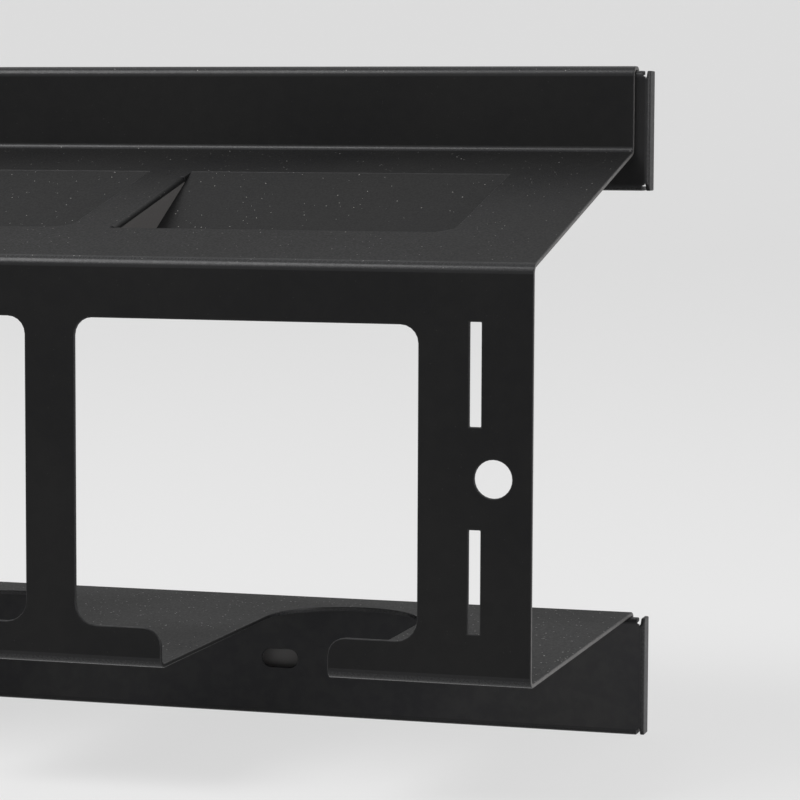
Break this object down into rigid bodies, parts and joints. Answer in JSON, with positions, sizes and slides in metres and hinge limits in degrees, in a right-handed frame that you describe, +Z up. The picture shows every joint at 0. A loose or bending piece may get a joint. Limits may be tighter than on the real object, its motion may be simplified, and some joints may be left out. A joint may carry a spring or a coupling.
{
  "type": "pegboard drill holder",
  "caption": "Wall-hung folded steel holder with U-shaped notches that cradle pistol-grip drills, and a shallow open trough above for bits.",
  "frame": {"origin": "on the board's face at mid-width, on the row of holes that the upper hooks enter", "axes": "+X to the right along the width as seen from the front, +Y into the board, +Z up"},
  "size_m": [0.47, 0.1355, 0.1878],
  "materials": {
    "body": "fine-textured black powder coat",
    "trough": "fine-textured black powder coat",
    "rail": "fine-textured black powder coat",
    "rod": "bright zinc plate"
  },
  "bodies": {
    "root": {"body": "body", "trough": "trough", "upper_rail": "rail", "lower_rail": "rail", "hook_1": "rod", "hook_2": "rod", "hook_3": "rod", "hook_4": "rod", "peg_1": "rod", "peg_2": "rod"}
  },
  "joints": []
}
